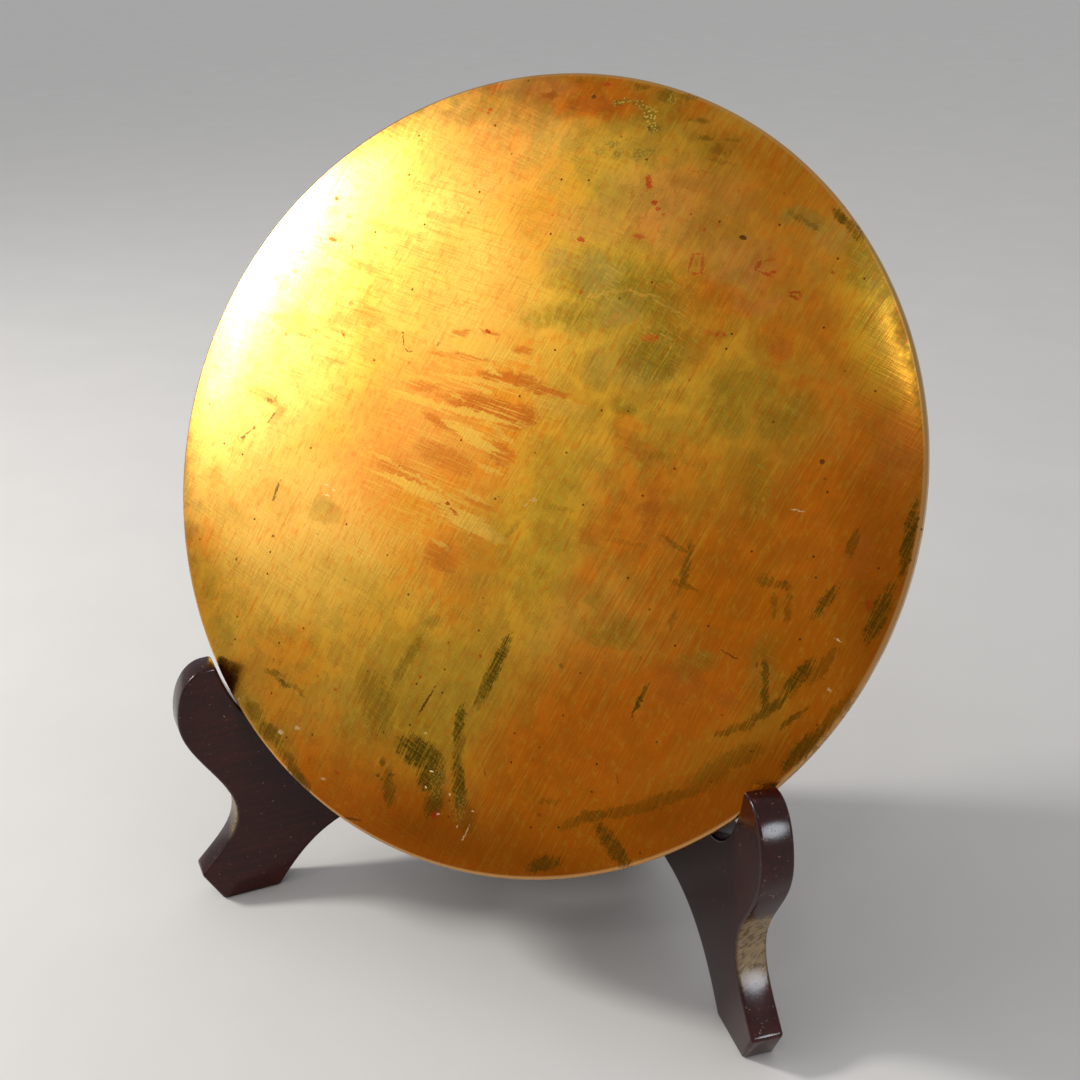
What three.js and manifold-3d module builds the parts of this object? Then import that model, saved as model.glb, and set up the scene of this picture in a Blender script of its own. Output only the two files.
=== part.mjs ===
import * as THREE from 'three';
import { mergeVertices } from 'three/addons/utils/BufferGeometryUtils.js';
import Module from 'manifold-3d';

const wasm = await Module();
wasm.setup();

// Millimetres, Z up. The mirror faces -Y and leans back; x = 0 is the plane of symmetry.
const deg = Math.PI / 180;

// Mirror disc: its front rim circle is the reference plane, heights are measured forward from it
const mirrorRadius = 100;
const mirrorLean = 26.8 * deg;
const faceRise = 3.5;
const faceFalloff = 2.6; // exponent of the face curve, above 2 it drops faster near the rim
const plateThickness = 2.4;
const rimThickness = 3.2;
const rimBandWidth = 6.5;
const rimBandSlope = 1.2;
const rimArris = 0.9;

// Pierced knob in the middle of the back
const knobRadius = 11;
const knobHeight = 10.5;
const knobSeatWidth = 5;
const knobSeatHeight = 1.2;
const knobSeatSlope = 0.8;
const cordHoleDiameter = 6.2;
const cordHoleLift = 0.4; // above the knob's seat

// Stand: two equal boards in a V, whose mitred ends meet in an upright joint behind the mirror.
// Outline sizes are distances forward from the V's inner corner (out) and heights above the table.
const boardThickness = 8.1;
const boardEdge = 0.8;
const boardHalfAngle = 41.4 * deg;

const footHeelOut = 98.8;
const footFrontOut = 114.7;
const toeOut = 120;
const toeHeight = 9.5;
const waistOut = 108.4;
const waistHeight = 27.6;
const bulgeOut = 120.9;
const bulgeHeight = 57.5;
const hookHeight = 72.5;
const hookLipOut = 111.4;
const hookWallOut = 109.3;
const seatOut = 106.1; // where the rim's front edge meets the board's inner face
const seatHeight = 63;
const scoopOut = 89.5;
const scoopHeight = 49;
const postFootOut = 66;
const postFootHeight = 73;
const postContactHeight = 146;
const postHeight = 152;
const postWidth = 23;
const backFootOut = 24.4;
const archHeight = 20.5;
const jointHeight = 86;
const spineDepth = 6.5; // the joint's flat back, behind the V's inner corner

// Clear space where the mirror rests on the boards, and in the mitre
const restGap = 0.3;
const mitreGap = 0.3;

const faceEdge = mirrorRadius - rimArris;
const sinHalf = Math.sin(boardHalfAngle);
const cosHalf = Math.cos(boardHalfAngle);
const sinLean = Math.sin(mirrorLean);
const cosLean = Math.cos(mirrorLean);

// The rim passes through the seat point on both inner faces, which fixes the disc's centre.
// The V's inner corner is at y = 0 here; the whole is centred over the origin at the end.
const seatSide = seatOut * sinHalf / mirrorRadius;
const seatDrop = Math.sqrt(1 - seatSide * seatSide) * mirrorRadius;
const discY = -seatOut * cosHalf + seatDrop * sinLean;
const discZ = seatHeight + seatDrop * cosLean;

function faceHeight(radius) {
  return faceRise * (1 - Math.pow(Math.min(radius / faceEdge, 1), faceFalloff));
}

// Distance out along a board's inner face to the back of the mirror plate, at a given height
function plateBackOut(height) {
  let out = -discY / cosHalf;
  for (let pass = 0; pass < 8; pass += 1) {
    const side = out * sinHalf;
    const depth = -out * cosHalf - discY;
    const up = depth * sinLean + (height - discZ) * cosLean;
    const back = faceHeight(Math.hypot(side, up)) - plateThickness;
    const y = discY + ((height - discZ) * sinLean - back) / cosLean;
    out = -y / cosHalf;
  }
  return out;
}

function toSolid(geometry) {
  const bare = geometry.index ? geometry.toNonIndexed() : geometry.clone();
  bare.deleteAttribute('normal');
  bare.deleteAttribute('uv');
  const merged = mergeVertices(bare, 1e-4);
  const vertProperties = new Float32Array(merged.attributes.position.array);
  const triVerts = new Uint32Array(merged.index.array);
  return new wasm.Manifold(new wasm.Mesh({ numProp: 3, vertProperties, triVerts }));
}

function toGeometry(solid) {
  const mesh = solid.getMesh();
  const geometry = new THREE.BufferGeometry();
  geometry.setAttribute('position', new THREE.BufferAttribute(mesh.vertProperties, 3));
  geometry.setIndex(new THREE.BufferAttribute(mesh.triVerts, 1));
  geometry.computeVertexNormals();
  return geometry;
}

// Mirror: one turned profile from the knob's top round the rim to the middle of the face
function mirrorProfile() {
  const points = [];
  const domeSteps = 6;
  const plateSteps = 5;
  const arrisSteps = 3;
  const faceSteps = 9;
  const plateCentre = faceRise - plateThickness;
  const seatRadius = knobRadius + knobSeatWidth;
  const bandRadius = mirrorRadius - rimBandWidth;
  for (let i = 0; i <= domeSteps; i += 1) {
    const turn = (i / domeSteps) * Math.PI / 2;
    const drop = (knobHeight - knobSeatHeight) * Math.cos(turn);
    points.push(new THREE.Vector2(knobRadius * Math.sin(turn), plateCentre - knobSeatHeight - drop));
  }
  points.push(new THREE.Vector2(seatRadius - knobSeatSlope, plateCentre - knobSeatHeight));
  for (let i = 0; i <= plateSteps; i += 1) {
    const radius = seatRadius + (bandRadius - rimBandSlope - seatRadius) * i / plateSteps;
    points.push(new THREE.Vector2(radius, faceHeight(radius) - plateThickness));
  }
  points.push(new THREE.Vector2(bandRadius, -rimThickness));
  points.push(new THREE.Vector2(mirrorRadius - rimArris / 2, -rimThickness));
  points.push(new THREE.Vector2(mirrorRadius, rimArris / 2 - rimThickness));
  for (let i = 0; i <= arrisSteps; i += 1) {
    const turn = (i / arrisSteps) * Math.PI / 2;
    points.push(new THREE.Vector2(faceEdge + rimArris * Math.cos(turn), rimArris * (Math.sin(turn) - 1)));
  }
  for (let i = 1; i <= faceSteps; i += 1) {
    const radius = faceEdge * Math.cos((i / faceSteps) * Math.PI / 2);
    points.push(new THREE.Vector2(i === faceSteps ? 0 : radius, faceHeight(radius)));
  }
  points[0].x = 0;
  return points;
}

const mirrorSides = 96;
const cordHoleSides = 16;
const cordHoleReach = 2 * (knobRadius + knobSeatWidth);
const cordHoleHeight = faceRise - plateThickness - knobSeatHeight - cordHoleLift - cordHoleDiameter / 2;
const cordHole = new THREE.CylinderGeometry(
  cordHoleDiameter / 2, cordHoleDiameter / 2, cordHoleReach, cordHoleSides);
cordHole.rotateZ(Math.PI / 2);
cordHole.translate(0, cordHoleHeight, 0);
const disc = toSolid(new THREE.LatheGeometry(mirrorProfile(), mirrorSides)).subtract(toSolid(cordHole));

// Board outline, drawn from the front foot round over the hook, the post and the mitred end
function boardShape() {
  const shape = new THREE.Shape();
  const contactOut = plateBackOut(postContactHeight) - restGap;
  const postLean = sinLean / cosLean / cosHalf;
  const postTopOut = contactOut - postWidth / 2;
  const postRearOut = contactOut - postWidth;
  const archHalf = (footHeelOut - backFootOut) / 2;
  const archMiddle = (footHeelOut + backFootOut) / 2;
  const endOut = -boardThickness * cosHalf / sinHalf - 2 * boardEdge;

  shape.moveTo(footHeelOut, 0);
  shape.lineTo(footFrontOut, 0);
  shape.lineTo(toeOut, toeHeight);
  shape.bezierCurveTo(
    toeOut - 5.3, toeHeight + 5.8, waistOut, waistHeight - 7.6, waistOut, waistHeight);
  shape.bezierCurveTo(
    waistOut, waistHeight + 9.9, bulgeOut, bulgeHeight - 10.5, bulgeOut, bulgeHeight);
  shape.bezierCurveTo(
    bulgeOut, bulgeHeight + 8, hookLipOut + 5.8, hookHeight, hookLipOut, hookHeight);
  shape.lineTo(hookWallOut, hookHeight);
  shape.bezierCurveTo(
    seatOut + restGap + 0.35, seatHeight - 2.6, scoopOut + 10, scoopHeight, scoopOut, scoopHeight);
  shape.bezierCurveTo(
    scoopOut - 12, scoopHeight, postFootOut + 3, postFootHeight - 10, postFootOut, postFootHeight);
  shape.bezierCurveTo(
    postFootOut - 9, postFootHeight + 30,
    contactOut + 12 * postLean, postContactHeight - 12,
    contactOut, postContactHeight);
  shape.bezierCurveTo(
    contactOut - 4 * postLean, postContactHeight + 4,
    postTopOut + 5, postHeight,
    postTopOut, postHeight);
  shape.bezierCurveTo(
    postTopOut - 6, postHeight,
    postRearOut, postHeight - 4,
    postRearOut, postHeight - 11);
  shape.bezierCurveTo(
    postRearOut, postHeight - 33,
    endOut, jointHeight + 26,
    endOut, jointHeight);
  shape.lineTo(endOut, 0);
  shape.lineTo(backFootOut, 0);
  shape.bezierCurveTo(
    backFootOut + 9, archHeight * 0.62,
    archMiddle - archHalf * 0.52, archHeight,
    archMiddle, archHeight);
  shape.bezierCurveTo(
    archMiddle + archHalf * 0.52, archHeight,
    footHeelOut - 9, archHeight * 0.62,
    footHeelOut, 0);
  return shape;
}

const boardCurveSteps = 8;

// A block whose flat side stands at the given place across the board and is turned about the corner
function endCutter(flatAt, turn) {
  const reach = 4 * boardThickness;
  const block = new THREE.BoxGeometry(reach, 3 * postHeight, 2 * reach);
  block.translate(flatAt - reach / 2, postHeight / 2, 0);
  return toSolid(block.rotateY(turn));
}

// The inner face lies at local z = 0; side is -1 for the board whose wood lies below it
function boardSolid(side) {
  const plank = new THREE.ExtrudeGeometry(boardShape(), {
    depth: boardThickness - 2 * boardEdge,
    curveSegments: boardCurveSteps,
    bevelEnabled: true,
    bevelThickness: boardEdge,
    bevelSize: boardEdge,
    bevelOffset: -boardEdge,
    bevelSegments: 2,
  });
  plank.translate(0, 0, side < 0 ? boardEdge - boardThickness : boardEdge);
  const mitre = endCutter(mitreGap / 2, side * (boardHalfAngle - Math.PI / 2));
  const spine = endCutter(-spineDepth, side * boardHalfAngle);
  return toSolid(plank).subtract(mitre).subtract(spine);
}

function named(name, geometry, material) {
  const mesh = new THREE.Mesh(geometry, material);
  mesh.name = name;
  return mesh;
}

function lacquer() {
  return new THREE.MeshStandardMaterial({ color: 0x2a100d, roughness: 0.28, metalness: 0 });
}

const bronze = new THREE.MeshStandardMaterial({ color: 0xa86f2c, roughness: 0.34, metalness: 1 });

const mirror = named('bronze_mirror', toGeometry(disc), bronze);
mirror.position.set(0, discY, discZ);
mirror.rotation.set(Math.PI - mirrorLean, 0, 0);

const rightBoard = named('stand_right_board', toGeometry(boardSolid(-1)), lacquer());
rightBoard.rotation.set(Math.PI / 2, 0, boardHalfAngle - Math.PI / 2, 'ZYX');

const leftBoard = named('stand_left_board', toGeometry(boardSolid(1)), lacquer());
leftBoard.rotation.set(Math.PI / 2, 0, -boardHalfAngle - Math.PI / 2, 'ZYX');

const part = new THREE.Group();
part.name = 'bronze_mirror_on_stand';
part.add(mirror, rightBoard, leftBoard);
part.updateMatrixWorld(true);

// Centred over the origin, standing on z = 0
const box = new THREE.Box3().setFromObject(part, true);
part.position.set(-(box.min.x + box.max.x) / 2, -(box.min.y + box.max.y) / 2, -box.min.z);
part.updateMatrixWorld(true);

export default part;
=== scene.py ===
import math

import bmesh
import bpy
from mathutils import Matrix, Vector, noise
from mathutils.geometry import interpolate_bezier


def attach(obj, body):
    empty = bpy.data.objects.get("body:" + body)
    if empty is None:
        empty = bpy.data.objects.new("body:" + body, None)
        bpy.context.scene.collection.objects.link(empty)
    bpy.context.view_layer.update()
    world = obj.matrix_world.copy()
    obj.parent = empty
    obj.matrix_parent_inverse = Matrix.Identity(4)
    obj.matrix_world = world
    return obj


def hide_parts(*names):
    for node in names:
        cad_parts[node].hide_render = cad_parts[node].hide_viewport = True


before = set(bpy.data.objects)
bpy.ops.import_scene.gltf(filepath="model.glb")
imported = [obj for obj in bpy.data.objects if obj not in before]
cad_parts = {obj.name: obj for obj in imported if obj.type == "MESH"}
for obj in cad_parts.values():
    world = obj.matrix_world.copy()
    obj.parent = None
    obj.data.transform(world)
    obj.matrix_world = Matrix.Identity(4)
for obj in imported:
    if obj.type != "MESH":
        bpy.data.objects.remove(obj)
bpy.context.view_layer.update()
print("frame loaded with", len(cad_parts), "solids")

mm = 0.001


# small helpers

def makeObject(name, mesh):
    data = bpy.data.meshes.new(name)
    mesh.to_mesh(data)
    mesh.free()
    piece = bpy.data.objects.new(name, data)
    bpy.context.scene.collection.objects.link(piece)
    return piece


def paint(red, green, blue):
    # a colour as a paint program shows it, turned into the linear one that the nodes take
    return tuple(((part / 255 + 0.055) / 1.055) ** 2.4 for part in (red, green, blue)) + (1.0,)


def newMaterial(name):
    material = bpy.data.materials.new(name)
    material.use_nodes = True
    tree = material.node_tree
    tree.nodes.clear()
    shader = tree.nodes.new("ShaderNodeBsdfPrincipled")
    output = tree.nodes.new("ShaderNodeOutputMaterial")
    tree.links.new(shader.outputs["BSDF"], output.inputs["Surface"])
    return material, tree, shader


def addNode(tree, kind, inputs, **settings):
    node = tree.nodes.new("ShaderNode" + kind)
    for key, value in settings.items():
        setattr(node, key, value)
    for socket, value in inputs.items():
        if isinstance(value, bpy.types.NodeSocket):
            tree.links.new(value, node.inputs[socket])
        else:
            node.inputs[socket].default_value = value
    return node


def calc(tree, operation, first, second=0.0, clamp=False):
    return addNode(tree, "Math", {0: first, 1: second}, operation=operation, use_clamp=clamp).outputs[0]


def times(tree, first, second, clamp=False):
    return calc(tree, "MULTIPLY", first, second, clamp)


def plus(tree, first, second, clamp=False):
    return calc(tree, "ADD", first, second, clamp)


def mixColour(tree, factor, under, over):
    return addNode(tree, "Mix", {0: factor, 6: under, 7: over}, data_type="RGBA").outputs[2]


def placed(tree, where, location=(0, 0, 0), rotation=(0, 0, 0), scale=(1, 1, 1), kind="TEXTURE"):
    inputs = {"Vector": where, "Location": location, "Rotation": rotation, "Scale": scale}
    return addNode(tree, "Mapping", inputs, vector_type=kind).outputs[0]


def lengthOf(tree, where):
    return addNode(tree, "VectorMath", {0: where}, operation="LENGTH").outputs["Value"]


def ease(tree, value, low, high, toLow=0.0, toHigh=1.0):
    # clamp stays off: the smooth step ends flat, and a clamp on each mask overruns the shader's stack
    inputs = {"Value": value, "From Min": low, "From Max": high, "To Min": toLow, "To Max": toHigh}
    node = addNode(tree, "MapRange", inputs, interpolation_type="SMOOTHSTEP", clamp=False)
    return node.outputs["Result"]


def speckle(tree, where, size, detail=3.0, roughness=0.5, dimensions="2D"):
    inputs = {"Vector": where, "Scale": 1 / size, "Detail": detail, "Roughness": roughness}
    return addNode(tree, "TexNoise", inputs, noise_dimensions=dimensions)


def brushed(tree, where, angle, along, across, detail=4.0, roughness=0.6):
    # noise drawn out along one direction, as polishing leaves it
    place = placed(tree, where, rotation=(0, 0, math.radians(angle)), scale=(along, across, 1))
    return speckle(tree, place, 1.0, detail, roughness).outputs["Fac"]


def shifted(tree, where, size, amount, detail=3.0):
    # the same place, pushed about by noise so that edges drawn with it run raggedly
    push = speckle(tree, where, size, detail).outputs["Color"]
    centred = addNode(tree, "VectorMath", {0: push, 1: (0.5, 0.5, 0.5)}, operation="SUBTRACT").outputs[0]
    scaled = addNode(tree, "VectorMath", {0: centred, 1: (amount, amount, 0)}, operation="MULTIPLY")
    return addNode(tree, "VectorMath", {0: where, 1: scaled.outputs[0]}, operation="ADD").outputs[0]


# how a patch of the face is drawn
patching = {
    "reach": 1.5,  # noise carries a patch up to this many times its half sizes
    "edge": 0.34,  # level of the fading ball where the patch's edge lies
    "margin": 6.0,  # millimetres allowed when the patches of one quarter are picked
}


def reaches(patch, quarter):
    # whether a patch, with the ragged edge that noise gives it, gets into one quarter of the face
    across, up, halfLength, halfWidth, turn = patch[:5]
    turn = math.radians(turn)
    reach, margin = patching["reach"], patching["margin"]
    wide = reach * math.hypot(halfLength * math.cos(turn), halfWidth * math.sin(turn)) + margin
    tall = reach * math.hypot(halfLength * math.sin(turn), halfWidth * math.cos(turn)) + margin
    return across * quarter[0] > -wide and up * quarter[1] > -tall


def patchMask(tree, where, patches, ragged, soft):
    # one fading ball for each patch, the ones of the same strength taken together
    reach, edge = patching["reach"], patching["edge"]
    total = None
    for level in sorted({patch[-1] for patch in patches}):
        spread = None
        for across, up, halfLength, halfWidth, turn, strength in patches:
            if strength != level:
                continue
            ball = addNode(tree, "TexGradient", {"Vector": where}, gradient_type="SPHERICAL")
            ball.texture_mapping.vector_type = "TEXTURE"
            ball.texture_mapping.translation = (across, up, 0)
            ball.texture_mapping.rotation = (0, 0, math.radians(turn))
            ball.texture_mapping.scale = (halfLength * reach, halfWidth * reach, 1)
            inside = ball.outputs["Fac"]
            spread = inside if spread is None else calc(tree, "MAXIMUM", spread, inside)
        spread = times(tree, spread, ragged)
        mask = ease(tree, spread, edge - soft, edge + soft, 0, level)
        total = mask if total is None else calc(tree, "MAXIMUM", total, mask)
    return 0.0 if total is None else total


# the mirror

mirror = {
    "radius": 99.96,
    "lean": 26.8,  # degrees back from upright
    "centre": (0.0, -4.592, 126.599),  # middle of the rim's front edge
    "faceRise": 3.5,
    "faceFalloff": 2.6,  # powers of the dome's two slopes, and the share of the steeper one
    "rimFalloff": 9.0,
    "rimShare": 0.4,
    "plate": 2.4,
    "rimThickness": 3.2,
    "rimBand": 6.5,
    "bandSlope": 1.3,
    "arris": 0.9,
    "backArris": 0.5,
    "knobRadius": 11.0,
    "knobHeight": 10.5,
    "seatWidth": 5.0,
    "seatHeight": 1.2,
    "cordHole": 6.2,
    "cordHoleLift": 0.4,
    "steps": 288,
    "faceRings": 60,
    "arrisSteps": 6,
    "backArrisSteps": 5,
    "bandSteps": 6,
    "plateSteps": 24,
    "seatSteps": 4,
    "knobSteps": 16,
    "wave": 0.07,  # unevenness of face and back, gone at the rim
    "waveScales": (0.035, 0.11),
    "fineWaveShare": 0.35,
    "calmRim": 12.0,
    "dent": 0.0009,  # the same in the rim's outline, as a share of the radius
    "dentScale": 0.09,
    "dentFrom": 0.25,
    "dentRim": 1.2,
    "paleRim": (98.8, 99.4),  # from where the rim's edge turns pale to where it is palest
    # rings of dirt on the back: radii where it is none and full on one side, then on the other
    "dirtRings": [(88.5, 92.6, 94.2, 93.4), (20.0, 16.5, 14.6, 15.6), (13.2, 11.4, 10.2, 10.9)],
    "knobPolish": (6.5, 3.0),
}

discPlace = (Matrix.Translation(Vector(mirror["centre"]) * mm)
             @ Matrix.Rotation(math.radians(90 - mirror["lean"]), 4, "X")
             @ Matrix.Scale(mm, 4))


def faceHeight(radius):
    # a shallow dome that turns down faster in the last centimetre before the rim
    out = min(radius / (mirror["radius"] - mirror["arris"]), 1)
    share = mirror["rimShare"]
    drop = (1 - share) * out ** mirror["faceFalloff"] + share * out ** mirror["rimFalloff"]
    return mirror["faceRise"] * (1 - drop)


def mirrorProfile():
    # from the middle of the face out over the rim and in along the back to the top of the knob
    radius, arris, plate = mirror["radius"], mirror["arris"], mirror["plate"]
    backArris = mirror["backArris"]
    edge = radius - arris
    points = []
    for ring in range(mirror["faceRings"] + 1):
        out = edge * math.sin(ring / mirror["faceRings"] * math.pi / 2)
        points.append((out, faceHeight(out)))
    for step in range(1, mirror["arrisSteps"] + 1):
        turn = step / mirror["arrisSteps"] * math.pi / 2
        points.append((edge + arris * math.sin(turn), arris * (math.cos(turn) - 1)))
    back = -mirror["rimThickness"]
    for step in range(1, mirror["backArrisSteps"] + 1):
        turn = step / mirror["backArrisSteps"] * math.pi / 2
        points.append((radius - backArris * (1 - math.cos(turn)), back + backArris * (1 - math.sin(turn))))
    band = radius - mirror["rimBand"]
    for step in range(1, mirror["bandSteps"] + 1):
        points.append((radius - backArris - (mirror["rimBand"] - 1.0) * step / mirror["bandSteps"], back))
    # corners between the flats are eased by a tenth of a millimetre or so
    points.append((band + 0.1, back + 0.12))
    points.append((band - 1.0, faceHeight(band - 1.2) - plate - 0.12))
    slope = mirror["bandSlope"]
    seatEdge = mirror["knobRadius"] + mirror["seatWidth"]
    for step in range(mirror["plateSteps"] + 1):
        out = band - slope + (seatEdge + 0.3 - band + slope) * step / mirror["plateSteps"]
        points.append((out, faceHeight(out) - plate))
    middle = mirror["faceRise"] - plate
    seatTop = middle - mirror["seatHeight"]
    points.append((seatEdge - 0.1, middle - 0.25))
    points.append((seatEdge - 0.6, seatTop + 0.15))
    for step in range(mirror["seatSteps"] + 1):
        points.append((seatEdge - 0.9 - (mirror["seatWidth"] - 1.3) * step / mirror["seatSteps"], seatTop))
    dome = mirror["knobHeight"] - mirror["seatHeight"]
    for step in range(mirror["knobSteps"] + 1):
        turn = step / mirror["knobSteps"] * math.pi / 2
        points.append((mirror["knobRadius"] * math.cos(turn), seatTop - dome * math.sin(turn)))
    points[-1] = (0.0, points[-1][1])
    return points


def makeUneven(mesh):
    coarse, fine = mirror["waveScales"]
    for vert in mesh.verts:
        radius = math.hypot(vert.co.x, vert.co.y)
        inside = min(1.0, (mirror["radius"] - radius) / mirror["calmRim"])
        onBack = vert.co.z < faceHeight(radius) - 1
        where = Vector((vert.co.x, vert.co.y, 3.0 * onBack))
        swell = noise.noise(where * coarse) + mirror["fineWaveShare"] * noise.noise(where * fine)
        vert.co.z += mirror["wave"] * swell * inside
        if radius > mirror["radius"] - mirror["dentRim"]:
            hit = noise.noise(Vector((vert.co.x, vert.co.y, 9.0)) * mirror["dentScale"])
            dent = max(0.0, hit - mirror["dentFrom"])
            vert.co.x *= 1 - mirror["dent"] * dent
            vert.co.y *= 1 - mirror["dent"] * dent


def buildMirror():
    mesh = bmesh.new()
    chain = [mesh.verts.new((out, 0, height)) for out, height in mirrorProfile()]
    edges = [mesh.edges.new(pair) for pair in zip(chain, chain[1:])]
    bmesh.ops.spin(mesh, geom=chain + edges, cent=(0, 0, 0), axis=(0, 0, 1), dvec=(0, 0, 0),
                   angle=math.tau, steps=mirror["steps"], use_merge=True)
    bmesh.ops.remove_doubles(mesh, verts=mesh.verts, dist=0.002)
    bmesh.ops.recalc_face_normals(mesh, faces=mesh.faces)
    makeUneven(mesh)
    for face in mesh.faces:
        face.smooth = True
        middle = face.calc_center_median()
        # slots 0 to 3 are the quarters of the face, slot 4 is the back
        face.material_index = 4 if face.normal.z < -0.1 else (middle.x < 0) + 2 * (middle.y < 0)
    mesh.transform(discPlace)
    return makeObject("bronzeMirror", mesh)


def drillCordHole(piece):
    middle = mirror["faceRise"] - mirror["plate"] - mirror["seatHeight"]
    height = middle - mirror["cordHoleLift"] - mirror["cordHole"] / 2
    mesh = bmesh.new()
    bmesh.ops.create_cone(mesh, cap_ends=True, segments=40, radius1=mirror["cordHole"] / 2,
                          radius2=mirror["cordHole"] / 2, depth=2 * mirror["knobRadius"] + 6)
    bmesh.ops.rotate(mesh, verts=mesh.verts, cent=(0, 0, 0), matrix=Matrix.Rotation(math.pi / 2, 3, "Y"))
    bmesh.ops.translate(mesh, verts=mesh.verts, vec=(0, 0, height))
    mesh.transform(discPlace)
    drill = makeObject("cordDrill", mesh)
    cut = piece.modifiers.new("cordHole", "BOOLEAN")
    cut.operation = "DIFFERENCE"
    cut.solver = "EXACT"
    cut.object = drill
    cut.material_mode = "INDEX"
    graph = bpy.context.evaluated_depsgraph_get()
    bored = bpy.data.meshes.new_from_object(piece.evaluated_get(graph))
    piece.modifiers.clear()
    piece.data = bored
    bpy.data.objects.remove(drill)


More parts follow.
